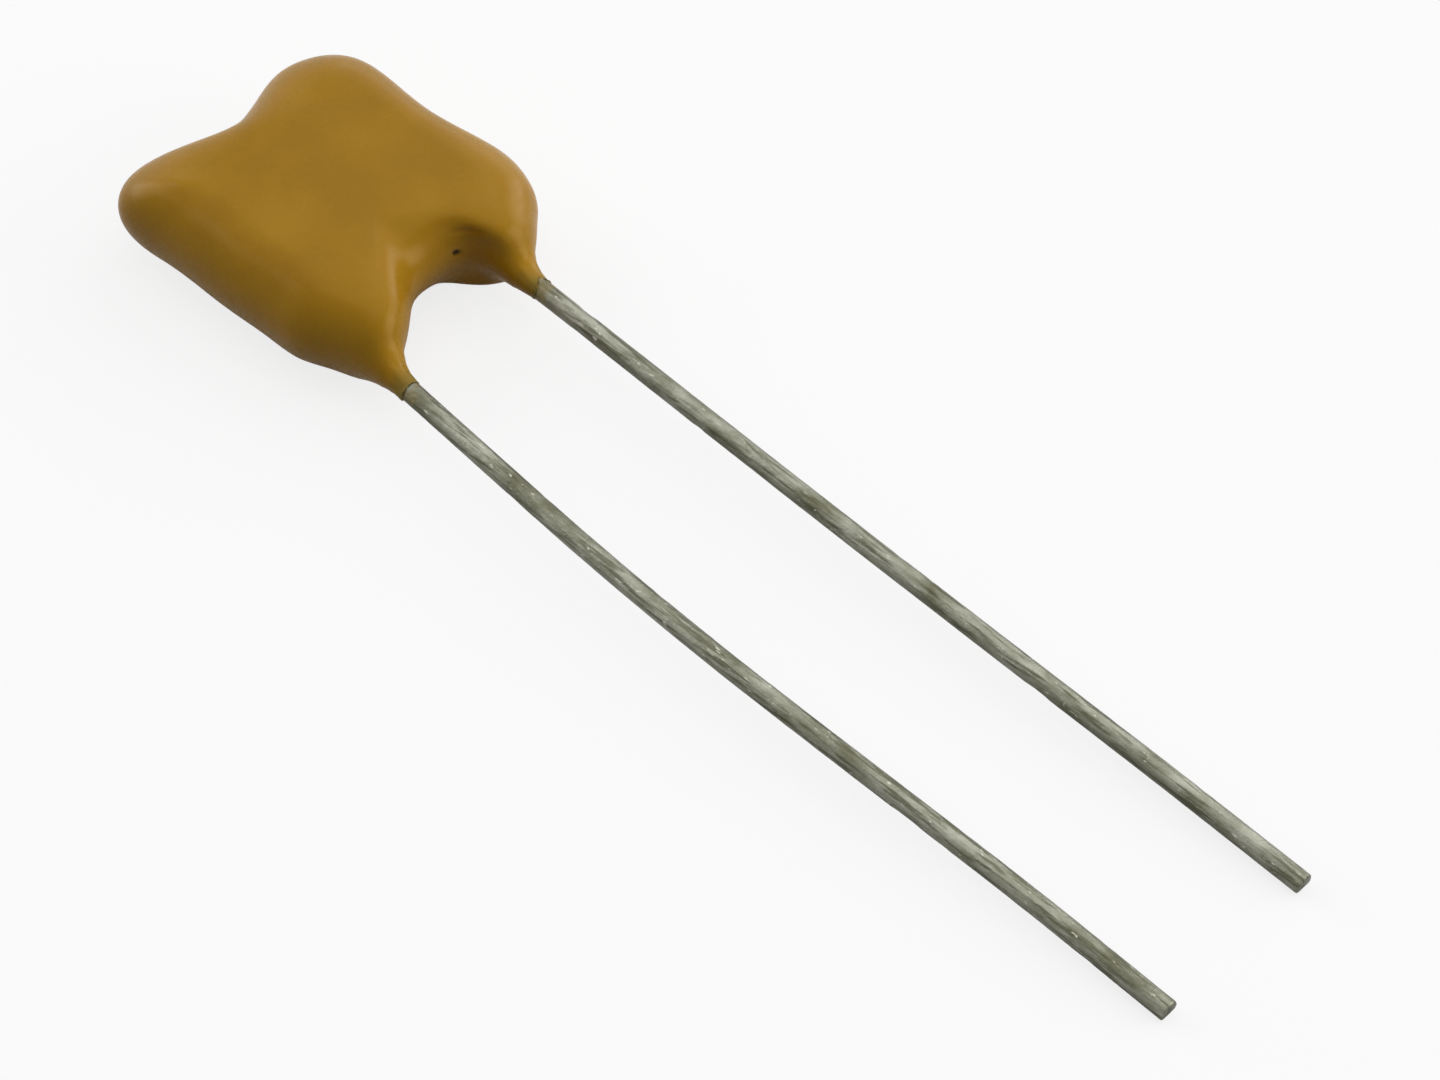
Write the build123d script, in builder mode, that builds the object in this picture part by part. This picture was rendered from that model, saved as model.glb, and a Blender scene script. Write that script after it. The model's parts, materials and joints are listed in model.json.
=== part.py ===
"""Dipped two-lead multilayer ceramic capacitor, lying on its back, in millimetres.

The chip is a block of ceramic with two interleaved groups of metal plates. Each group reaches one end
of the block, where a fired metal cap collects it. A tinned wire is soldered up each end cap, and the
whole is dipped in epoxy, which hugs the chip, rises over the two wire ends as rounded ears, and runs
down over the wires as two flared legs.

Frame: +Z up, the flat back of the coat lies on Z = 0, and the origin is below the middle of the chip.
X runs along the chip from its left end to its right end. The leads leave towards -Y.
"""

import os
from math import cos, hypot, radians, sin, tan

from build123d import *

# ------------------------------------------------------------------ driving dimensions
# chip
chip_length = 5.7  # X, between the two fired end faces
chip_width = 6.0  # Y
chip_thickness = 2.0  # Z
chip_edge_chamfer = 0.1  # worn edges of the block
plate_thickness = 0.04
plate_pitch = 0.15
plates_per_side = 6
plate_side_margin = 0.4  # bare ceramic beside each plate
plate_end_margin = 0.5  # bare ceramic between a plate and the far end
termination_thickness = 0.06
termination_band = 0.7  # how far each end cap wraps onto the faces of the chip

# leads
wire_diameter = 0.6
lead_pitch = 5.08  # at the tips
exit_pitch = 4.82  # where the wires leave the coat
lead_shift = 0.5  # the pair stands this far to the left of the chip's centre
lead_length = 26.3  # from the end of the coat to the tips, along Y
tip_run = 4.6  # last stretch, where both wires run parallel
left_bow = 0.5  # outward bow of the left wire
left_bow_at = 9.2  # distance of the bow from the end of the coat
right_bend_at = 10.7  # where the right wire turns outwards
wire_end_cover = 1.0  # epoxy above the upper end of each wire
crank_height = 1.9  # Y between the two bends of a wire below the chip
crank_drop = 0.35  # from the chip's lower edge to the upper bend
crank_radius = 0.9
bend_share = 0.45  # share of a run that the easy arcs at its ends may take
shear_start = 0.1  # below a tip's axis, where the cutter's facet starts
shear_length = 0.2  # along the wire

# solder
solder_gap = 0.05  # between a wire and the end cap it is soldered to
solder_spread = 0.85  # half width of the fillet on the end cap
solder_length = 4.8
solder_skin = 0.03  # solder over the top and bottom of a wire
solder_hollow_radius = 0.9

# epoxy coat
coat_face = 0.6  # over the two large faces of the chip
coat_side = 0.61  # over the outer side of each wire
coat_top = 0.68  # above the chip, between the ears
coat_bottom = 0.8  # below the chip, at the top of the notch
ear_rise = 0.76  # of an ear over the saddle between the ears
ear_dip = 0.5  # of the flat face's rim behind an ear
right_bulge = 0.22  # how far the right shoulder stands out past the side
right_waist = 0.12  # how far the right side draws in above that shoulder
leg_length = 2.5  # from the top of the notch to the end of the coat
leg_end_wall = 0.09  # epoxy round the wire where the coat ends
face_inset = 1.45  # from the girth of the coat to the rim of its flat face
stub_inset_share = 0.5  # of that inset at the lower edge over the wires, where the wall is steeper
arch_inset_share = 1.35  # of that inset in the middle of the notch, where the coat rounds off more
wall_lean = 0.25  # how far the wall of the notch overhangs at its upper rim
stub_length = 1.4  # from the top of the notch to the end of the body's stub over a wire
stub_bluntness = 0.4  # 0 is a stub as thick as the body all the way
leg_rise = 2.15  # how far a leg's flare reaches up from its end
left_leg_spread = 0.22  # how much each leg widens outwards
right_leg_spread = 1.2
left_leg_spread_in = 1.05  # how much each leg widens towards the notch
right_leg_spread_in = 0.2
leg_swell = 1.0  # how much a leg thickens
leg_flare = 1.8  # how late the legs widen: 1 is a cone, more is a trumpet

# ------------------------------------------------------------------ derived dimensions
wire_radius = wire_diameter / 2
mid_z = chip_thickness / 2 + coat_face
cap_x = chip_length / 2 + termination_thickness
riser_x = cap_x + solder_gap + wire_radius
side_x = riser_x + wire_radius + coat_side
saddle_y = chip_width / 2 + coat_top
ear_y = saddle_y + ear_rise
notch_y = -chip_width / 2 - coat_bottom
coat_end_y = notch_y - leg_length
tip_y = coat_end_y - lead_length
wire_top_y = ear_y - wire_end_cover
bend_high_y = -chip_width / 2 - crank_drop
bend_low_y = bend_high_y - crank_height
route_left_x = -lead_shift - exit_pitch / 2
route_right_x = exit_pitch / 2 - lead_shift
tip_left_x = -lead_shift - lead_pitch / 2
tip_right_x = lead_pitch / 2 - lead_shift
lead_slope = (mid_z - wire_radius) / (bend_low_y - tip_y)


# ------------------------------------------------------------------ plates and ceramic block
def plate_stack(direction):
    """One group of plates, reaching the end of the chip that lies towards direction (-1 or +1)."""
    plate_length = chip_length - plate_end_margin
    plate_width = chip_width - 2 * plate_side_margin
    first = -(plates_per_side - 0.5) * plate_pitch
    offset_in_pair = 0 if direction < 0 else plate_pitch
    with BuildPart() as stack:
        for i in range(plates_per_side):
            z = mid_z + first + 2 * i * plate_pitch + offset_in_pair
            with Locations((direction * plate_end_margin / 2, 0, z)):
                Box(plate_length, plate_width, plate_thickness)
    return stack.part


with BuildPart() as electrodes_left:
    add(plate_stack(-1))

with BuildPart() as electrodes_right:
    add(plate_stack(+1))

with BuildPart() as chip_form:
    with Locations((0, 0, mid_z)):
        Box(chip_length, chip_width, chip_thickness)
    chamfer(chip_form.edges(), length=chip_edge_chamfer)

with BuildPart() as ceramic_block:
    add(chip_form.part)
    add(electrodes_left.part, mode=Mode.SUBTRACT)
    add(electrodes_right.part, mode=Mode.SUBTRACT)


# ------------------------------------------------------------------ end caps
def end_cap(direction):
    """Five-sided cap over one end of the chip."""
    cap_length = termination_band + termination_thickness
    with BuildPart() as cap:
        with Locations((direction * (cap_x - cap_length / 2), 0, mid_z)):
            Box(
                cap_length,
                chip_width + 2 * termination_thickness,
                chip_thickness + 2 * termination_thickness,
            )
        outer_end = cap.edges().group_by(Axis.X)[0 if direction < 0 else -1]
        along_chip = cap.edges().filter_by(Axis.X)
        chamfer(outer_end + along_chip, length=chip_edge_chamfer + termination_thickness / 2)
        add(chip_form.part, mode=Mode.SUBTRACT)
    return cap.part


with BuildPart() as termination_left:
    add(end_cap(-1))

with BuildPart() as termination_right:
    add(end_cap(+1))


# ------------------------------------------------------------------ leads
def bend_radii(points, tight):
    """Radius of each corner of a route: the named crank radius where tight, else a long easy arc."""
    radii = []
    for before, corner, after, is_tight in zip(points, points[1:], points[2:], tight):
        run_in = Vector(*corner) - Vector(*before)
        run_out = Vector(*after) - Vector(*corner)
        half_turn = radians(run_in.get_angle(run_out)) / 2
        longest = bend_share * min(run_in.length, run_out.length) / tan(half_turn)
        radii.append(min(crank_radius, longest) if is_tight else longest)
    return radii


def lead(points, tight):
    """A round wire along straight runs joined by tangent arcs, with the cutter's facet on its tip."""
    tip = points[-1]
    facet_top = tip[2] - shear_start
    facet_bottom = tip[2] - wire_diameter
    with BuildPart() as wire:
        with BuildLine() as route:
            FilletPolyline(*points, radius=bend_radii(points, tight))
        with BuildSketch(Plane(origin=points[0], z_dir=(0, -1, 0))):
            Circle(wire_radius)
        sweep(path=route.wires()[0])
        with BuildSketch(Plane.YZ.offset(tip[0] - wire_diameter)):
            with BuildLine():
                Polyline(
                    (tip[1] - wire_diameter, facet_top),
                    (tip[1], facet_top),
                    (tip[1] + shear_length, facet_bottom),
                    (tip[1] - wire_diameter, facet_bottom),
                    close=True,
                )
            make_face()
        extrude(amount=2 * wire_diameter, mode=Mode.SUBTRACT)
    return wire.part


def route_point(x, y):
    """A point of a wire's axis: level in the coat, then straight down to the floor at the tip."""
    return (x, y, mid_z - max(bend_low_y - y, 0) * lead_slope)


left_route = [
    route_point(-riser_x, wire_top_y),
    route_point(-riser_x, bend_high_y),
    route_point(route_left_x, bend_low_y),
    route_point(route_left_x - left_bow, coat_end_y - left_bow_at),
    route_point(tip_left_x, tip_y + tip_run),
    route_point(tip_left_x, tip_y),
]
right_route = [
    route_point(riser_x, wire_top_y),
    route_point(riser_x, bend_high_y),
    route_point(route_right_x, bend_low_y),
    route_point(route_right_x, coat_end_y - right_bend_at),
    route_point(tip_right_x, tip_y + tip_run),
    route_point(tip_right_x, tip_y),
]

with BuildPart() as lead_left:
    add(lead(left_route, [True, False, False, False]))

with BuildPart() as lead_right:
    add(lead(right_route, [True, True, False, False]))


# ------------------------------------------------------------------ solder
def solder_fillet(direction, wire):
    """Solder drawn into a hollow fillet between a wire and the end cap behind it."""
    wire_x = direction * riser_x
    face_x = direction * cap_x
    with BuildPart() as solder:
        with BuildSketch(Plane.XZ.offset(-solder_length / 2)):
            with BuildLine():
                foot_high = (face_x, mid_z + solder_spread)
                foot_low = (face_x, mid_z - solder_spread)
                crest_high = (wire_x, mid_z + wire_radius + solder_skin)
                crest_low = (wire_x, mid_z - wire_radius - solder_skin)
                RadiusArc(foot_high, crest_high, direction * solder_hollow_radius)
                Line(crest_high, crest_low)
                RadiusArc(crest_low, foot_low, direction * solder_hollow_radius)
                Line(foot_low, foot_high)
            make_face()
        extrude(amount=solder_length)
        add(wire, mode=Mode.SUBTRACT)
    return solder.part


with BuildPart() as solder_left:
    add(solder_fillet(-1, lead_left.part))

with BuildPart() as solder_right:
    add(solder_fillet(+1, lead_right.part))


# ------------------------------------------------------------------ epoxy coat
def coat_outline(angle):
    """Closed outline of the body at one height, given as an angle: 0 at the girth, 90 at the flat face.

    Going up or down from the girth, the outline draws in along a quarter ellipse all round: least over
    the wires, where two blunt stubs reach down, and most in the middle of the notch between them.
    """
    inset = face_inset * (1 - cos(radians(angle)))
    side = side_x - inset
    top = saddle_y - inset
    notch = notch_y + stub_inset_share * inset - wall_lean * sin(radians(angle))
    arch = notch + (arch_inset_share - stub_inset_share) * inset
    share = cos(radians(angle))
    ear = share * (ear_rise + ear_dip) - ear_dip
    bulge = share * right_bulge
    waist = share * right_waist
    drop = stub_length * share**stub_bluntness
    narrow = side / side_x

    def stub_point(wire_x, reach, part, depth):
        """A point of a stub: part of the way from the wire to reach, at a share of the stub's depth."""
        rise = part * (arch - notch) if reach == middle else 0
        return ((wire_x + part * (reach - wire_x)) * narrow, notch + rise - drop * depth)

    right, left, middle = route_right_x, route_left_x, -lead_shift
    return [
        (0, top),
        (0.27 * side, top + 0.6 * ear),
        (0.55 * side, top + ear),
        (0.82 * side, top + 0.35 * ear),
        (0.96 * side, top - 0.14 * side),
        (0.99 * side, top - 0.4 * side),
        (side - waist, top - 0.95 * side),
        (side + bulge, notch + 0.4 * side),
        (side, notch + 0.05 * side),
        stub_point(right, side_x, 0.87, 0.24),
        stub_point(right, side_x, 0.64, 0.58),
        stub_point(right, side_x, 0.4, 0.94),
        stub_point(right, side_x, 0, 1.03),
        stub_point(right, middle, 0.12, 0.6),
        stub_point(right, middle, 0.19, 0.34),
        stub_point(right, middle, 0.37, 0.1),
        stub_point(right, middle, 0.7, 0.02),
        (middle * narrow, arch - 0.09 * drop),
        stub_point(left, middle, 0.75, 0.39),
        stub_point(left, middle, 0.43, 0.84),
        stub_point(left, middle, 0.15, 1.04),
        stub_point(left, -side_x, 0.2, 0.93),
        stub_point(left, -side_x, 0.45, 0.5),
        stub_point(left, -side_x, 0.6, 0.07),
        (-0.95 * side, notch + 0.15 * side),
        (-0.98 * side, notch + 0.5 * side),
        (-side, top - 0.9 * side),
        (-1.01 * side, top - 0.28 * side),
        (-0.985 * side, top + 0.42 * ear),
        (-0.84 * side, top + 1.05 * ear),
        (-0.6 * side, top + 1.08 * ear),
        (-0.28 * side, top + 0.4 * ear),
    ]


def outline_parameters(points):
    """Share of the way round at each point, so outlines of different height line up in the loft."""
    closed = points + points[:1]
    steps = [hypot(b[0] - a[0], b[1] - a[1]) for a, b in zip(closed, closed[1:])]
    return [sum(steps[:i]) / sum(steps) for i in range(len(closed))]


def leg_section(wire_x, y, outer, inner, half_height):
    """Oval across a leg, reaching outer and inner to its two sides from the wire."""
    middle_x = wire_x + (outer - inner) / 2
    middle_z = route_point(wire_x, y)[2]
    half_width = abs(outer + inner) / 2
    turns = [radians(angle) for angle in range(0, 360, 30)]
    with BuildSketch(Plane.XZ.offset(-y)) as ring:
        with BuildLine():
            Spline(
                *[(middle_x + half_width * cos(t), middle_z + half_height * sin(t)) for t in turns],
                periodic=True,
            )
        make_face()
    return ring.sketch


def leg(wire_x, spread_out, spread_in, direction):
    """Epoxy drawn down over a wire: a flared loft from inside a stub to a thin ring round the wire."""
    end_radius = wire_radius + leg_end_wall
    sections = []
    for share in (0, 0.2, 0.4, 0.6, 0.8, 1):
        y = coat_end_y + leg_rise * share
        outer = end_radius + spread_out * share**leg_flare
        inner = end_radius + spread_in * share**leg_flare
        half_height = end_radius + leg_swell * share**leg_flare
        sections.append(leg_section(wire_x, y, direction * outer, direction * inner, half_height))
    with BuildPart() as flared:
        loft(sections=sections)
    return flared.part


girth_parameters = outline_parameters(coat_outline(0))

with BuildPart() as coating:
    for angle in (-90, -79, -61, -41, -20, 0, 20, 41, 61, 79, 90):
        with BuildSketch(Plane.XY.offset(mid_z + mid_z * sin(radians(angle)))):
            with BuildLine():
                add(Edge.make_spline(coat_outline(angle), periodic=True, parameters=girth_parameters))
            make_face()
    loft()
    add(leg(route_left_x, left_leg_spread, left_leg_spread_in, -1))
    add(leg(route_right_x, right_leg_spread, right_leg_spread_in, +1))
    for inner in (termination_left, termination_right, solder_left, solder_right, lead_left, lead_right):
        add(inner.part, mode=Mode.SUBTRACT)
    add(chip_form.part, mode=Mode.SUBTRACT)

# ------------------------------------------------------------------ write the pieces
pieces = {
    "coating": coating,
    "ceramic_block": ceramic_block,
    "electrodes_left": electrodes_left,
    "electrodes_right": electrodes_right,
    "termination_left": termination_left,
    "termination_right": termination_right,
    "solder_left": solder_left,
    "solder_right": solder_right,
    "lead_left": lead_left,
    "lead_right": lead_right,
}
os.makedirs("parts", exist_ok=True)
for label, piece in pieces.items():
    piece.part.label = label
    export_step(piece.part, f"parts/{label}.step")
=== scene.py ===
"""Dipped two-lead ceramic capacitor: the looks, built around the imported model, which is the fixed frame.

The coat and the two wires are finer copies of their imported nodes, with the marks that dipping, tinning
and cutting leave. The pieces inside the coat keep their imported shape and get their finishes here.
Sizes in the property groups are in metres, as Blender shows them.
"""

import json
from math import cos, exp, pi, radians, sin

import bmesh
import bpy
from bpy.props import FloatProperty, FloatVectorProperty, IntProperty, PointerProperty
from mathutils import Matrix, Vector, noise
from mathutils.bvhtree import BVHTree

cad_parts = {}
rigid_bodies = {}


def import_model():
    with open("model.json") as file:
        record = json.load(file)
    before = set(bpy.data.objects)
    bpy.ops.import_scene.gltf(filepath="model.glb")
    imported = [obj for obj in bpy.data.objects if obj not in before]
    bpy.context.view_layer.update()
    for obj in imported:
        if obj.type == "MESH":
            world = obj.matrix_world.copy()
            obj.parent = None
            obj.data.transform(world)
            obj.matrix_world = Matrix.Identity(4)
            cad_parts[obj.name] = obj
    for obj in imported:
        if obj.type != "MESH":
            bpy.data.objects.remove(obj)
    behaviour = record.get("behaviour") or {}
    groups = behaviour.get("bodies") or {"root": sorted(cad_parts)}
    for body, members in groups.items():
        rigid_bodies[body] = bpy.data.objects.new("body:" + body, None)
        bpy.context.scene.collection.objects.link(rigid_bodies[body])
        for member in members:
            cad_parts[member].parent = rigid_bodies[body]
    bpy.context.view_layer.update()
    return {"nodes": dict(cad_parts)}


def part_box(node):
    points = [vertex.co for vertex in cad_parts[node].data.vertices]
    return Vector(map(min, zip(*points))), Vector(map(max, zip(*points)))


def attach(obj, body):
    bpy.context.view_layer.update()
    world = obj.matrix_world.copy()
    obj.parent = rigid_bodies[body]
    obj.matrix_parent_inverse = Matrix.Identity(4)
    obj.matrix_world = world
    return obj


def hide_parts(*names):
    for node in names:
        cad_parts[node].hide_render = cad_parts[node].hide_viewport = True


bl_info = {
    "name": "Dipped ceramic capacitor",
    "version": (1, 0, 0),
    "blender": (4, 5, 0),
    "location": "View3D > Sidebar > Capacitor",
    "description": "Dresses the packed capacitor: epoxy coat, tinned wires, the chip inside, a plain stage",
    "category": "Add Mesh",
}

for left_over in list(bpy.data.objects):
    bpy.data.objects.remove(left_over)

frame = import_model()

MM = 0.001
SIDES = ("left", "right")
WIRE_NODES = ("lead_left", "lead_right")
CHIP_NODES = ("ceramic_block", "termination_left", "termination_right", "solder_left", "solder_right")

WELD = 0.0005 * MM  # corners nearer than this are one corner
TOUCHING = 0.04 * MM  # a skin nearer than this to another piece lies against it
FLOOR_WALL = 0.1 * MM  # the coat keeps its shape this far up from the floor

# heights above the coat's end at which the legs' extra evening starts, is full, begins to fade and stops
LEG_ZONE = (0.5 * MM, 1.1 * MM, 2.6 * MM, 3.6 * MM)
BARE_FADE = 0.4 * MM  # length below the coat over which the marks in the tin reach their full depth

# waves per millimetre
SAG_WAVES = 0.55
LUMP_WAVES = 3.5
EDGE_WAVES = (2.2, 6)
TIN_WAVES = (2.2, 6)
DENT_WAVES = 1.1
DENT_PATTERN = Vector((7, 3, 5))  # sets the dents' places apart from those of the waves

DENT_LEVELS = (0.42, 0.72)  # of the noise, where a dent begins and where it is full
LUMP_SHARE = 0.35  # how far the coat's wall thickens and thins at its very end

FLOOR_SHADE = 0.9  # of the floor where it is seen
LAMP_DISTANCE = 0.35  # metres
SOFTBOXES = {  # turn from the leads' side and height above the floor in degrees, and width in metres
    "front": (38, 15, 0.25),
    "low": (350, 6, 0.25),
    "side": (82, 14, 0.2),
    "far_side": (110, 20, 0.42),
    "back": (198, 25, 0.3),
    "top": (90, 75, 0.42),
}


# ------------------------------------------------------------------ settings
class CoatSettings(bpy.types.PropertyGroup):
    """The dipped epoxy coat."""

    grain: FloatProperty(
        name="Mesh grain", description="Edge length of the coat's mesh", default=0.068 * MM, unit="LENGTH"
    )
    flow: IntProperty(name="Flow", description="How far the wet epoxy evened itself out", default=24, min=0)
    leg_flow: IntProperty(
        name="Leg flow", description="Extra evening where the legs begin", default=150, min=0
    )
    sag: FloatProperty(
        name="Sag", description="Height of the slow waves in the skin", default=0.008 * MM, unit="LENGTH"
    )
    ragged: FloatProperty(
        name="Ragged ends",
        description="How unevenly the legs end on the wires",
        default=0.3 * MM,
        unit="LENGTH",
    )
    end_reach: FloatProperty(
        name="Thin ends", description="Length over which a leg thins out", default=0.9 * MM, unit="LENGTH"
    )
    end_share: FloatProperty(
        name="End thickness",
        description="Share of its wall a leg keeps at its end",
        default=0.1,
        min=0,
        max=1,
        subtype="FACTOR",
    )
    pinhole: FloatVectorProperty(
        name="Pinhole",
        description="Place of the pinhole in the wall of the notch",
        subtype="TRANSLATION",
        size=3,
        default=(0.98 * MM, -3.92 * MM, 2.02 * MM),
    )
    pinhole_radius: FloatProperty(
        name="Pinhole radius", description="Radius of the pinhole", default=0.12 * MM, unit="LENGTH"
    )
    pinhole_depth: FloatProperty(
        name="Pinhole depth", description="Depth of the pinhole", default=0.09 * MM, unit="LENGTH"
    )
    wrinkle: FloatVectorProperty(
        name="Wrinkle",
        description="Middle of the faint wrinkle above the pinhole",
        subtype="TRANSLATION",
        size=3,
        default=(1.25 * MM, -4.06 * MM, 2.76 * MM),
    )
    wrinkle_run: FloatVectorProperty(
        name="Wrinkle run",
        description="Direction of the wrinkle along the wall of the notch",
        subtype="DIRECTION",
        size=3,
        default=(0.62, -0.76, 0.17),
    )
    wrinkle_length: FloatProperty(
        name="Wrinkle length", description="Length of the wrinkle", default=0.8 * MM, unit="LENGTH"
    )
    wrinkle_width: FloatProperty(
        name="Wrinkle width", description="Half width of the wrinkle", default=0.09 * MM, unit="LENGTH"
    )
    wrinkle_depth: FloatProperty(
        name="Wrinkle depth", description="Depth of the wrinkle", default=0.05 * MM, unit="LENGTH"
    )
    hollow: FloatVectorProperty(
        name="Hollow",
        description="Middle of the shallow hollow on the inner side of the right leg",
        subtype="TRANSLATION",
        size=3,
        default=(1.5 * MM, -4.4 * MM, 0.8 * MM),
    )
    hollow_radius: FloatProperty(
        name="Hollow radius", description="Radius of the hollow in the leg", default=0.7 * MM, unit="LENGTH"
    )
    hollow_depth: FloatProperty(
        name="Hollow depth", description="Depth of the hollow in the leg", default=0.14 * MM, unit="LENGTH"
    )
    colour: FloatVectorProperty(
        name="Colour",
        description="Ochre of the epoxy",
        subtype="COLOR",
        size=3,
        default=(0.358, 0.183, 0.009),
    )
    deep_colour: FloatVectorProperty(
        name="Deep colour",
        description="Browner ochre where pigment has gathered",
        subtype="COLOR",
        size=3,
        default=(0.31, 0.155, 0.007),
    )
    end_colour: FloatVectorProperty(
        name="End colour",
        description="Olive of the thin epoxy at the ends of the legs",
        subtype="COLOR",
        size=3,
        default=(0.2, 0.145, 0.03),
    )
    # Painted shade: this dark colour is laid into the pinhole and stands in for the shade inside the pit.
    pit_shade_colour: FloatVectorProperty(
        name="Hole colour",
        description="Depth of the pinhole",
        subtype="COLOR",
        size=3,
        default=(0.03, 0.016, 0.004),
    )
    roughness: FloatProperty(
        name="Roughness",
        description="Roughness of the cured skin",
        default=0.26,
        min=0,
        max=1,
        subtype="FACTOR",
    )


class WireSettings(bpy.types.PropertyGroup):
    """The two tinned wires."""

    grain: FloatProperty(
        name="Mesh grain", description="Edge length of the wires' mesh", default=0.045 * MM, unit="LENGTH"
    )
    unevenness: FloatProperty(
        name="Unevenness", description="Depth of the waves in the tin", default=0.012 * MM, unit="LENGTH"
    )
    dent: FloatProperty(
        name="Dents", description="Depth of the dents from handling", default=0.018 * MM, unit="LENGTH"
    )
    colour: FloatVectorProperty(
        name="Colour", description="Aged tin", subtype="COLOR", size=3, default=(0.25, 0.25, 0.205)
    )
    dull_colour: FloatVectorProperty(
        name="Dull colour",
        description="Tin that has gone dull",
        subtype="COLOR",
        size=3,
        default=(0.11, 0.11, 0.075),
    )
    streak_colour: FloatVectorProperty(
        name="Streaks", description="Dark draw lines", subtype="COLOR", size=3, default=(0.06, 0.06, 0.035)
    )
    fleck_colour: FloatVectorProperty(
        name="Flecks", description="Bright scratches", subtype="COLOR", size=3, default=(0.5, 0.5, 0.43)
    )
    film_colour: FloatVectorProperty(
        name="Film",
        description="Epoxy thinly left on the tin",
        subtype="COLOR",
        size=3,
        default=(0.2, 0.155, 0.045),
    )
    roughness: FloatProperty(
        name="Roughness",
        description="Roughness of the tin",
        default=0.42,
        min=0,
        max=1,
        subtype="FACTOR",
    )


class ChipSettings(bpy.types.PropertyGroup):
    """The chip and the solder inside the coat."""

    ceramic: FloatVectorProperty(
        name="Ceramic", description="Fired ceramic", subtype="COLOR", size=3, default=(0.4, 0.29, 0.2)
    )
    plate: FloatVectorProperty(
        name="Plates", description="Nickel plates", subtype="COLOR", size=3, default=(0.42, 0.4, 0.37)
    )
    cap: FloatVectorProperty(
        name="End caps", description="Fired silver", subtype="COLOR", size=3, default=(0.6, 0.59, 0.56)
    )
    solder: FloatVectorProperty(
        name="Solder", description="Dull solder", subtype="COLOR", size=3, default=(0.45, 0.45, 0.45)
    )


class StageSettings(bpy.types.PropertyGroup):
    """Floor, light and camera."""

    azimuth: FloatProperty(
        name="Azimuth", description="Camera's turn round the part", default=radians(-46.05), subtype="ANGLE"
    )
    elevation: FloatProperty(
        name="Elevation", description="Camera's height", default=radians(52.0), subtype="ANGLE"
    )
    distance: FloatProperty(
        name="Distance", description="From the camera to its aim", default=120 * MM, unit="LENGTH"
    )
    lens: FloatProperty(name="Lens", description="Focal length", default=116.33, unit="CAMERA")
    aim: FloatVectorProperty(
        name="Aim",
        description="Point the camera looks at",
        subtype="TRANSLATION",
        size=3,
        default=(-0.46 * MM, -15.11 * MM, 0.8 * MM),
    )
    front: FloatProperty(
        name="Front", description="Brightness of the softbox in front", default=3.6, min=0
    )
    low: FloatProperty(
        name="Low", description="Brightness of the softbox near the floor", default=0.5, min=0
    )
    side: FloatProperty(
        name="Side", description="Brightness of the softbox at the side", default=2.1, min=0
    )
    far_side: FloatProperty(
        name="Far side", description="Brightness of the wide softbox at the far side", default=0.55, min=0
    )
    back: FloatProperty(name="Back", description="Brightness of the softbox behind", default=2.4, min=0)
    top: FloatProperty(name="Top", description="Brightness of the softbox overhead", default=1.15, min=0)
    room: FloatProperty(name="Room", description="Brightness of the room", default=0.1, min=0)
    bounce: FloatProperty(name="Bounce", description="Light the floor throws back up", default=0.4, min=0)
    whiteness: FloatProperty(
        name="Whiteness",
        description="How far the floor's shadows are faded",
        default=0.8,
        min=0,
        max=1,
        subtype="FACTOR",
    )


# ------------------------------------------------------------------ mesh helpers
def share_between(value, start, end):
    """Share that rises from zero at the start to one at the end."""
    return min(max((value - start) / (end - start), 0), 1)


def refined_copy(node, name, grain, flow, held_near=()):
    """A new piece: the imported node's mesh welded, evenly remeshed, and smoothed away from held nodes."""
    mesh = frame["nodes"][node].data.copy()
    piece = bpy.data.objects.new(name, mesh)
    bpy.context.scene.collection.objects.link(piece)
    piece.data.materials.clear()
    join_triangles(mesh)
    in_millimetres = Matrix.Scale(1 / MM, 4)
    mesh.transform(in_millimetres)
    remesh = piece.modifiers.new("even grain", "REMESH")
    remesh.mode = "VOXEL"
    remesh.voxel_size = grain / MM
    remesh.use_smooth_shade = True
    apply_modifiers(piece)
    piece.data.transform(in_millimetres.inverted())
    group = piece.vertex_groups.new(name="free skin")
    group.add(free_vertices(piece, held_near), 1.0, "REPLACE")
    smooth(piece, group, flow)
    return piece


def join_triangles(mesh):
    """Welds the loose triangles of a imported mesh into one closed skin."""
    bm = bmesh.new()
    bm.from_mesh(mesh)
    bmesh.ops.remove_doubles(bm, verts=bm.verts, dist=WELD)
    bm.to_mesh(mesh)
    bm.free()


def apply_modifiers(piece):
    """Bakes the piece's modifiers into its mesh."""
    graph = bpy.context.evaluated_depsgraph_get()
    graph.update()
    baked = bpy.data.meshes.new_from_object(piece.evaluated_get(graph))
    piece.modifiers.clear()
    piece.data = baked


def bell(distance, reach):
    """One at no distance, falling off smoothly round the reach."""
    return exp(-((distance / reach) ** 2))


def surface_of(nodes):
    """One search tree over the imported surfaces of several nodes."""
    corners = []
    triangles = []
    for node in nodes:
        mesh = frame["nodes"][node].data
        first = len(corners)
        corners.extend(v.co.copy() for v in mesh.vertices)
        triangles.extend([first + i for i in p.vertices] for p in mesh.polygons)
    return BVHTree.FromPolygons(corners, triangles)


def free_vertices(piece, held_near):
    """Indices of the vertices that don't lie against one of the named nodes."""
    if not held_near:
        return list(range(len(piece.data.vertices)))
    held = surface_of(held_near)
    return [v.index for v in piece.data.vertices if held.find_nearest(v.co, TOUCHING)[0] is None]


def smooth(piece, group, rounds):
    """Evens a group of the piece's vertices."""
    if rounds == 0:
        return
    evening = piece.modifiers.new("flow", "SMOOTH")
    evening.vertex_group = group.name
    evening.factor = 0.5
    evening.iterations = rounds
    apply_modifiers(piece)


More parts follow.
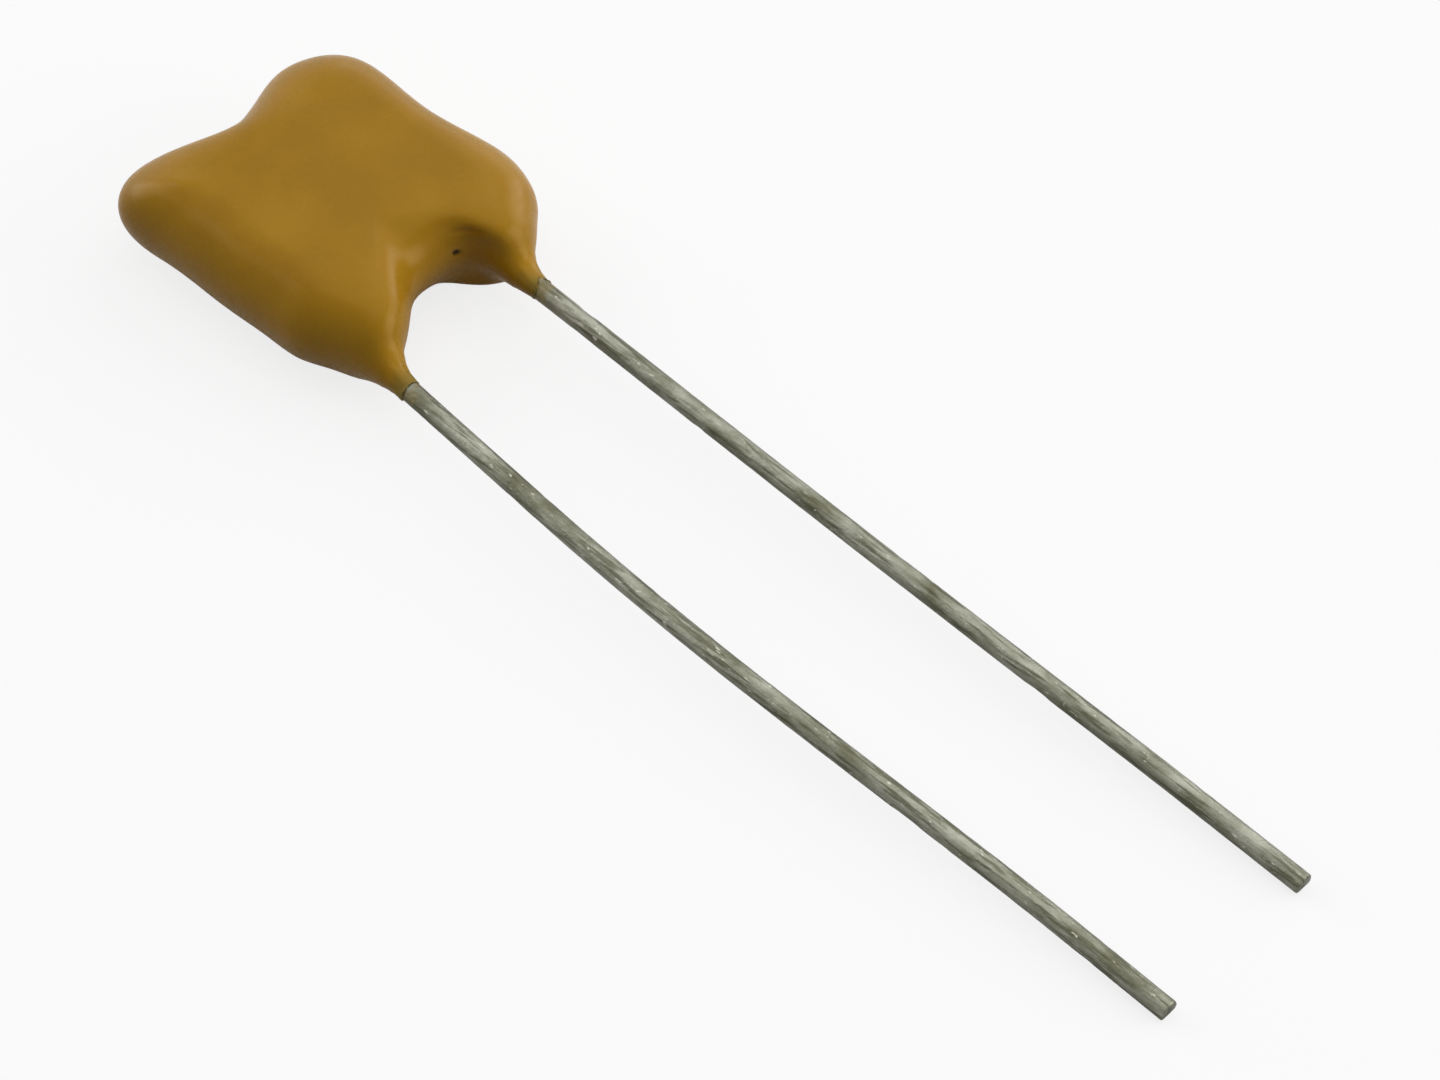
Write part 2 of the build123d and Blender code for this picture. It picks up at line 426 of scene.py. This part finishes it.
def finish_piece(piece, node, material):
    """Seats a finished piece on the frame in place of its node."""
    piece.data.materials.clear()
    piece.data.materials.append(material)
    piece.data.shade_smooth()
    piece.vertex_groups.clear()
    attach(piece, "root")
    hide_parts(node)


# ------------------------------------------------------------------ material helpers
def new_material(name):
    """A new node material, with its tree and its shader."""
    material = bpy.data.materials.new(name)
    material.use_nodes = True
    tree = material.node_tree
    shader = tree.nodes["Principled BSDF"]
    return material, tree, shader


def add_noise(tree, scale, detail, roughness=0.5, drawn_out=1):
    """Noise in object coordinates, drawn out along the wires if asked."""
    place = tree.nodes.new("ShaderNodeTexCoord")
    cloud = tree.nodes.new("ShaderNodeTexNoise")
    cloud.inputs["Scale"].default_value = scale
    cloud.inputs["Detail"].default_value = detail
    cloud.inputs["Roughness"].default_value = roughness
    stretch = tree.nodes.new("ShaderNodeMapping")
    stretch.inputs["Scale"].default_value = (1, 1 / drawn_out, 1)
    tree.links.new(place.outputs["Object"], stretch.inputs["Vector"])
    tree.links.new(stretch.outputs["Vector"], cloud.inputs["Vector"])
    return cloud.outputs["Fac"]


def add_ramp(tree, source, low, high, low_colour, high_colour):
    """Two colours blended across a range of a value."""
    ramp = tree.nodes.new("ShaderNodeValToRGB")
    ramp.color_ramp.elements[0].position = low
    ramp.color_ramp.elements[0].color = (*low_colour, 1)
    ramp.color_ramp.elements[1].position = high
    ramp.color_ramp.elements[1].color = (*high_colour, 1)
    tree.links.new(source, ramp.inputs["Fac"])
    return ramp.outputs["Color"]


def add_range(tree, source, low, high, to_low, to_high):
    """A value moved from one range to another."""
    remap = tree.nodes.new("ShaderNodeMapRange")
    remap.inputs["From Min"].default_value = low
    remap.inputs["From Max"].default_value = high
    remap.inputs["To Min"].default_value = to_low
    remap.inputs["To Max"].default_value = to_high
    tree.links.new(source, remap.inputs["Value"])
    return remap.outputs["Result"]


def add_mix(tree, share, first, second):
    """Two colours mixed by a share."""
    mix = tree.nodes.new("ShaderNodeMix")
    mix.data_type = "RGBA"
    tree.links.new(share, mix.inputs["Factor"])
    tree.links.new(first, mix.inputs["A"])
    tree.links.new(second, mix.inputs["B"])
    return mix.outputs["Result"]


def add_bump(tree, shader, height, distance, strength, below=None):
    """A bump on the shader, laid over another one if given."""
    bump = tree.nodes.new("ShaderNodeBump")
    bump.inputs["Distance"].default_value = distance
    bump.inputs["Strength"].default_value = strength
    tree.links.new(height, bump.inputs["Height"])
    if below:
        tree.links.new(below.outputs["Normal"], bump.inputs["Normal"])
    tree.links.new(bump.outputs["Normal"], shader.inputs["Normal"])
    return bump


def add_wandering_y(tree, scale, wander):
    """The Y coordinate with a wandering error added, for ragged lines across the wires."""
    place = tree.nodes.new("ShaderNodeTexCoord")
    axes = tree.nodes.new("ShaderNodeSeparateXYZ")
    tree.links.new(place.outputs["Object"], axes.inputs["Vector"])
    added = tree.nodes.new("ShaderNodeMath")
    added.operation = "MULTIPLY_ADD"
    added.inputs[1].default_value = wander
    error = add_range(tree, add_noise(tree, scale, detail=3), 0, 1, -0.5, 0.5)
    tree.links.new(error, added.inputs[0])
    tree.links.new(axes.outputs["Y"], added.inputs[2])
    return added.outputs["Value"]


def add_colour(tree, colour):
    """A plain colour."""
    plain = tree.nodes.new("ShaderNodeRGB")
    plain.outputs["Color"].default_value = (*colour, 1)
    return plain.outputs["Color"]


def add_spot(tree, middle, radius):
    """One inside a small round spot, fading to zero at its rim."""
    place = tree.nodes.new("ShaderNodeTexCoord")
    apart = tree.nodes.new("ShaderNodeVectorMath")
    apart.operation = "DISTANCE"
    apart.inputs[1].default_value = middle
    tree.links.new(place.outputs["Object"], apart.inputs[0])
    return add_range(tree, apart.outputs["Value"], 1.1 * radius, 0.6 * radius, 0, 1)


def epoxy_material(coat):
    """Ochre epoxy: slow mottle, a fine skin, thin olive ends on the wires, and painted shade in the pinhole.
    """
    material, tree, shader = new_material("dipped epoxy")
    mottle = add_noise(tree, scale=420, detail=3)
    body = add_ramp(tree, mottle, 0.35, 0.65, coat.deep_colour, coat.colour)
    end_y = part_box("coating")[0].y
    line = add_wandering_y(tree, scale=2600, wander=0.7 * MM)
    thin = add_range(tree, line, end_y + 0.7 * MM, end_y, 0, 1)
    ended = add_mix(tree, thin, body, add_colour(tree, coat.end_colour))
    # Painted shade: a small round spot at the pinhole is darkened to stand in for the shade inside the pit.
    pit_shade = add_spot(tree, coat.pinhole, coat.pinhole_radius)
    colour = add_mix(tree, pit_shade, ended, add_colour(tree, coat.pit_shade_colour))
    tree.links.new(colour, shader.inputs["Base Color"])
    skin = add_noise(tree, scale=4200, detail=2)
    dullness = add_range(tree, skin, 0.3, 0.7, coat.roughness - 0.05, coat.roughness + 0.07)
    tree.links.new(dullness, shader.inputs["Roughness"])
    waves = add_noise(tree, scale=800, detail=2)
    waves_bump = add_bump(tree, shader, waves, distance=0.02 * MM, strength=0.4)
    add_bump(tree, shader, skin, distance=0.002 * MM, strength=0.2, below=waves_bump)
    shader.inputs["IOR"].default_value = 1.5
    shader.inputs["Specular IOR Level"].default_value = 0.2
    shader.inputs["Specular Tint"].default_value = (1, 0.7, 0.35, 1)
    return material


def tin_material(wires):
    """Aged tin: dull patches, streaks along the wire, bright flecks, and a film of epoxy at the coat."""
    material, tree, shader = new_material("tinned wire")
    patches = add_noise(tree, scale=1500, detail=5, roughness=0.65, drawn_out=3)
    tin = add_ramp(tree, patches, 0.36, 0.62, wires.dull_colour, wires.colour)
    lines = add_noise(tree, scale=8000, detail=3, roughness=0.6, drawn_out=14)
    streaks = add_range(tree, lines, 0.5, 0.62, 0, 0.75)
    streaked = add_mix(tree, streaks, tin, add_colour(tree, wires.streak_colour))
    scratches = add_noise(tree, scale=9000, detail=3, drawn_out=3)
    flecks = add_range(tree, scratches, 0.66, 0.72, 0, 0.6)
    flecked = add_mix(tree, flecks, streaked, add_colour(tree, wires.fleck_colour))
    end_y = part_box("coating")[0].y
    line = add_wandering_y(tree, scale=2400, wander=1.6 * MM)
    film = add_range(tree, line, end_y - 0.3 * MM, end_y + 0.1 * MM, 0, 0.7)
    colour = add_mix(tree, film, flecked, add_colour(tree, wires.film_colour))
    tree.links.new(colour, shader.inputs["Base Color"])
    tree.links.new(add_range(tree, film, 0, 1, 1, 0), shader.inputs["Metallic"])
    dullness = add_range(tree, patches, 0.35, 0.65, wires.roughness + 0.1, wires.roughness - 0.06)
    tree.links.new(dullness, shader.inputs["Roughness"])
    grain = add_noise(tree, scale=9000, detail=3, roughness=0.6)
    grain_bump = add_bump(tree, shader, grain, distance=0.02 * MM, strength=0.9)
    dings = add_noise(tree, scale=1800, detail=2)
    dings_bump = add_bump(tree, shader, dings, distance=0.04 * MM, strength=0.6, below=grain_bump)
    draw_lines = add_noise(tree, scale=6000, detail=2, drawn_out=12)
    add_bump(tree, shader, draw_lines, distance=0.04 * MM, strength=0.9, below=dings_bump)
    return material


def plain_material(name, colour, metallic, roughness, scale):
    """A hidden finish: a colour with a little grain in it."""
    material, tree, shader = new_material(name)
    grain = add_noise(tree, scale, detail=3)
    darker = tuple(0.8 * c for c in colour)
    tree.links.new(add_ramp(tree, grain, 0.35, 0.65, darker, tuple(colour)), shader.inputs["Base Color"])
    shader.inputs["Metallic"].default_value = metallic
    shader.inputs["Roughness"].default_value = roughness
    add_bump(tree, shader, grain, distance=0.01 * MM, strength=0.4)
    return material


# ------------------------------------------------------------------ pieces
class CAPACITOR_OT_coat(bpy.types.Operator):
    """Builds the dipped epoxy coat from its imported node."""

    bl_idname = "capacitor.coat"
    bl_label = "Epoxy coat"

    def execute(self, context):
        coat = context.scene.capacitor_coat
        held = CHIP_NODES + WIRE_NODES
        piece = refined_copy("coating", "epoxy_coat", coat.grain, coat.flow, held)
        low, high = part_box("coating")
        leg_group = piece.vertex_groups.new(name="leg skin")
        start, full, fade, stop = LEG_ZONE
        for index in free_vertices(piece, held):
            height = piece.data.vertices[index].co.y - low.y
            share = share_between(height, start, full) * share_between(height, stop, fade)
            if share > 0:
                leg_group.add([index], share, "REPLACE")
        smooth(piece, leg_group, coat.leg_flow)
        roughen_coat(piece, coat, low, high)
        finish_piece(piece, "coating", epoxy_material(coat))
        return {"FINISHED"}


def roughen_coat(piece, coat, low, high):
    """Slow waves, a pinhole, a wrinkle, a hollow and thin uneven ends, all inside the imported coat's box."""
    held = surface_of(CHIP_NODES + WIRE_NODES)
    wires = surface_of(WIRE_NODES)
    pinhole = Vector(coat.pinhole)
    wrinkle = Vector(coat.wrinkle)
    wrinkle_run = Vector(coat.wrinkle_run).normalized()
    hollow = Vector(coat.hollow)
    bm = bmesh.new()
    bm.from_mesh(piece.data)
    refine_near(bm, pinhole, reach=0.3 * MM)
    refine_near(bm, wrinkle, reach=0.6 * MM)
    bm.normal_update()
    for vert in bm.verts:
        if held.find_nearest(vert.co, TOUCHING)[0] is not None:
            continue
        place = vert.co / MM
        lowered = coat.sag * (0.5 + 0.5 * noise.noise(place * SAG_WAVES))
        lowered += coat.pinhole_depth * bell((vert.co - pinhole).length, coat.pinhole_radius)
        lowered += coat.hollow_depth * bell((vert.co - hollow).length, coat.hollow_radius)
        across = vert.co - wrinkle
        along = across.dot(wrinkle_run)
        across -= along * wrinkle_run
        fade = bell(along, coat.wrinkle_length / 2)
        lowered += coat.wrinkle_depth * fade * bell(across.length, coat.wrinkle_width)
        if vert.co.z > low.z + FLOOR_WALL:
            vert.co -= vert.normal * lowered
        depth = (vert.co.y - low.y) / coat.end_reach
        if depth < 1:
            on_wire = wires.find_nearest(vert.co)[0]
            thin = coat.end_share + (1 - coat.end_share) * max(depth, 0)
            lump = 1 + LUMP_SHARE * noise.noise(place * LUMP_WAVES) * (1 - depth)
            vert.co = on_wire + (vert.co - on_wire) * thin * lump
        vert.co.x = min(max(vert.co.x, low.x), high.x)
        vert.co.y = min(max(vert.co.y, low.y), high.y)
        vert.co.z = min(max(vert.co.z, low.z), high.z)
    for vert in bm.verts:
        depth = (vert.co.y - low.y) / coat.end_reach
        if depth < 1:
            around = Vector((vert.co.x, 0, vert.co.z)) / MM
            edge = noise.noise(around * EDGE_WAVES[0])
            edge += 0.4 * noise.noise(around * EDGE_WAVES[1])
            vert.co.y += (1 - depth) ** 1.5 * coat.ragged * max(0, 0.1 + 1.3 * edge)
    bm.to_mesh(piece.data)
    bm.free()


def refine_near(bm, place, reach):
    """Finer mesh around a small mark."""
    near = [edge for edge in bm.edges if all((v.co - place).length < reach for v in edge.verts)]
    bmesh.ops.subdivide_edges(bm, edges=near, cuts=2, use_grid_fill=True)


class CAPACITOR_OT_wires(bpy.types.Operator):
    """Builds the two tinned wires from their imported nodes."""

    bl_idname = "capacitor.wires"
    bl_label = "Tinned wires"

    def execute(self, context):
        wires = context.scene.capacitor_wires
        tin = tin_material(wires)
        for side in SIDES:
            node = f"lead_{side}"
            piece = refined_copy(node, f"wire_{side}", wires.grain, 4)
            roughen_wire(piece, wires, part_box("coating")[0].y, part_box(node)[0].z)
            finish_piece(piece, node, tin)
        return {"FINISHED"}


def roughen_wire(piece, wires, coat_end_y, floor_z):
    """Waves in the tin and small dents, all into the bare part of the wire."""
    bm = bmesh.new()
    bm.from_mesh(piece.data)
    bm.normal_update()
    for vert in bm.verts:
        place = vert.co / MM
        wave = 0.5 + 0.3 * noise.noise(place * TIN_WAVES[0]) + 0.2 * noise.noise(place * TIN_WAVES[1])
        dent = share_between(noise.noise(place * DENT_WAVES + DENT_PATTERN), *DENT_LEVELS)
        bare = share_between(coat_end_y - vert.co.y, 0, BARE_FADE)
        vert.co -= vert.normal * bare * (wires.unevenness * wave + wires.dent * dent)
        vert.co.z = max(vert.co.z, floor_z)
    bm.to_mesh(piece.data)
    bm.free()


class CAPACITOR_OT_chip(bpy.types.Operator):
    """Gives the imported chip, its end caps and the solder their finishes."""

    bl_idname = "capacitor.chip"
    bl_label = "Chip and solder"

    def execute(self, context):
        chip = context.scene.capacitor_chip
        ceramic = plain_material("fired ceramic", chip.ceramic, 0, 0.6, 3000)
        plate = plain_material("nickel plate", chip.plate, 1, 0.45, 5000)
        cap = plain_material("fired silver", chip.cap, 1, 0.35, 4000)
        solder = plain_material("dull solder", chip.solder, 1, 0.4, 2500)
        finishes = {"ceramic_block": ceramic}
        for side in SIDES:
            finishes[f"electrodes_{side}"] = plate
            finishes[f"termination_{side}"] = cap
            finishes[f"solder_{side}"] = solder
        for node, material in finishes.items():
            slots = frame["nodes"][node].data.materials
            slots.clear()
            slots.append(material)
        return {"FINISHED"}


# ------------------------------------------------------------------ stage
def facing(aim, azimuth, elevation, distance):
    """Place and turn of a camera or lamp that faces the aim from this direction and distance."""
    back = Vector((sin(azimuth) * cos(elevation), -cos(azimuth) * cos(elevation), sin(elevation)))
    right = Vector((cos(azimuth), sin(azimuth), 0))
    turn = Matrix((right, back.cross(right), back)).transposed().to_4x4()
    return Matrix.Translation(aim + back * distance) @ turn


def add_softbox(name, aim, azimuth, elevation, size, radiance):
    """A square soft light that faces the aim, with its brightness given as that of its surface."""
    light = bpy.data.lights.new(name, "AREA")
    light.shape = "SQUARE"
    light.size = size
    light.energy = radiance * size * size * pi
    lamp = bpy.data.objects.new(name, light)
    lamp.matrix_world = facing(aim, azimuth, elevation, LAMP_DISTANCE)
    bpy.context.scene.collection.objects.link(lamp)


def seen_directly(tree):
    """Two shares that are zero for light on its way: what is seen at all, and what the camera sees."""
    path = tree.nodes.new("ShaderNodeLightPath")
    seen = path.outputs["Is Camera Ray"]
    for other in ("Is Glossy Ray", "Is Transmission Ray"):
        either = tree.nodes.new("ShaderNodeMath")
        either.operation = "MAXIMUM"
        tree.links.new(seen, either.inputs[0])
        tree.links.new(path.outputs[other], either.inputs[1])
        seen = either.outputs["Value"]
    return seen, path.outputs["Is Camera Ray"]


def floor_material(stage):
    """Floor that looks pale, with a soft shadow, and throws little light back up."""
    material, tree, shader = new_material("pale floor")
    seen, by_camera = seen_directly(tree)
    tree.links.new(
        add_ramp(tree, seen, 0, 1, (stage.bounce,) * 3, (FLOOR_SHADE,) * 3), shader.inputs["Base Color"]
    )
    shader.inputs["Roughness"].default_value = 0.9
    shader.inputs["Specular IOR Level"].default_value = 0.0
    white = tree.nodes.new("ShaderNodeEmission")
    white.inputs["Strength"].default_value = 1.0
    share = tree.nodes.new("ShaderNodeMath")
    share.operation = "MULTIPLY"
    share.inputs[1].default_value = stage.whiteness
    tree.links.new(by_camera, share.inputs[0])
    mix = tree.nodes.new("ShaderNodeMixShader")
    tree.links.new(share.outputs["Value"], mix.inputs["Fac"])
    tree.links.new(shader.outputs["BSDF"], mix.inputs[1])
    tree.links.new(white.outputs["Emission"], mix.inputs[2])
    tree.links.new(mix.outputs["Shader"], tree.nodes["Material Output"].inputs["Surface"])
    return material


def paint_world(room):
    """A plain room for the light, and white where it is seen directly."""
    world = bpy.data.worlds.new("plain room")
    bpy.context.scene.world = world
    world.use_nodes = True
    tree = world.node_tree
    lit = tree.nodes["Background"]
    lit.inputs["Color"].default_value = (1, 1, 1, 1)
    lit.inputs["Strength"].default_value = room
    white = tree.nodes.new("ShaderNodeBackground")
    white.inputs["Color"].default_value = (1, 1, 1, 1)
    white.inputs["Strength"].default_value = 1.0
    mix = tree.nodes.new("ShaderNodeMixShader")
    tree.links.new(seen_directly(tree)[0], mix.inputs["Fac"])
    tree.links.new(lit.outputs["Background"], mix.inputs[1])
    tree.links.new(white.outputs["Background"], mix.inputs[2])
    tree.links.new(mix.outputs["Shader"], tree.nodes["World Output"].inputs["Surface"])


class CAPACITOR_OT_stage(bpy.types.Operator):
    """Sets the floor, the soft light and the camera."""

    bl_idname = "capacitor.stage"
    bl_label = "Stage"

    def execute(self, context):
        stage = context.scene.capacitor_stage
        scene = context.scene
        bm = bmesh.new()
        bmesh.ops.create_grid(bm, x_segments=1, y_segments=1, size=1.0)
        mesh = bpy.data.meshes.new("floor")
        bm.to_mesh(mesh)
        bm.free()
        mesh.materials.append(floor_material(stage))
        floor = bpy.data.objects.new("floor", mesh)
        scene.collection.objects.link(floor)

        body = Vector((0, 0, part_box("coating")[1].z / 2))
        for name, (azimuth, elevation, size) in SOFTBOXES.items():
            brightness = getattr(stage, name)
            add_softbox(f"{name} softbox", body, radians(azimuth), radians(elevation), size, brightness)
        paint_world(stage.room)

        data = bpy.data.cameras.new("camera")
        data.lens = stage.lens
        data.sensor_width = 36
        data.clip_start = 0.01
        camera = bpy.data.objects.new("camera", data)
        camera.matrix_world = facing(Vector(stage.aim), stage.azimuth, stage.elevation, stage.distance)
        scene.collection.objects.link(camera)
        scene.camera = camera
        scene.view_settings.view_transform = "Standard"
        return {"FINISHED"}


# ------------------------------------------------------------------ panel
class CAPACITOR_PT_panel(bpy.types.Panel):
    """Lists the pieces and their settings."""

    bl_idname = "CAPACITOR_PT_panel"
    bl_label = "Dipped capacitor"
    bl_space_type = "VIEW_3D"
    bl_region_type = "UI"
    bl_category = "Capacitor"

    def draw(self, context):
        scene = context.scene
        for operator, settings in (
            (CAPACITOR_OT_coat, scene.capacitor_coat),
            (CAPACITOR_OT_wires, scene.capacitor_wires),
            (CAPACITOR_OT_chip, scene.capacitor_chip),
            (CAPACITOR_OT_stage, scene.capacitor_stage),
        ):
            box = self.layout.box()
            box.operator(operator.bl_idname)
            for name in settings.__annotations__:
                box.prop(settings, name)


SETTINGS = {
    "capacitor_coat": CoatSettings,
    "capacitor_wires": WireSettings,
    "capacitor_chip": ChipSettings,
    "capacitor_stage": StageSettings,
}
CLASSES = (*SETTINGS.values(), CAPACITOR_OT_coat, CAPACITOR_OT_wires, CAPACITOR_OT_chip, CAPACITOR_OT_stage)


def register():
    for cls in (*CLASSES, CAPACITOR_PT_panel):
        bpy.utils.register_class(cls)
    for name, cls in SETTINGS.items():
        setattr(bpy.types.Scene, name, PointerProperty(type=cls))


def unregister():
    for name in SETTINGS:
        delattr(bpy.types.Scene, name)
    for cls in reversed((*CLASSES, CAPACITOR_PT_panel)):
        bpy.utils.unregister_class(cls)


def main():
    """Builds every piece and the stage."""
    register()
    bpy.ops.capacitor.coat()
    bpy.ops.capacitor.wires()
    bpy.ops.capacitor.chip()
    bpy.ops.capacitor.stage()


if __name__ == "__main__":
    main()
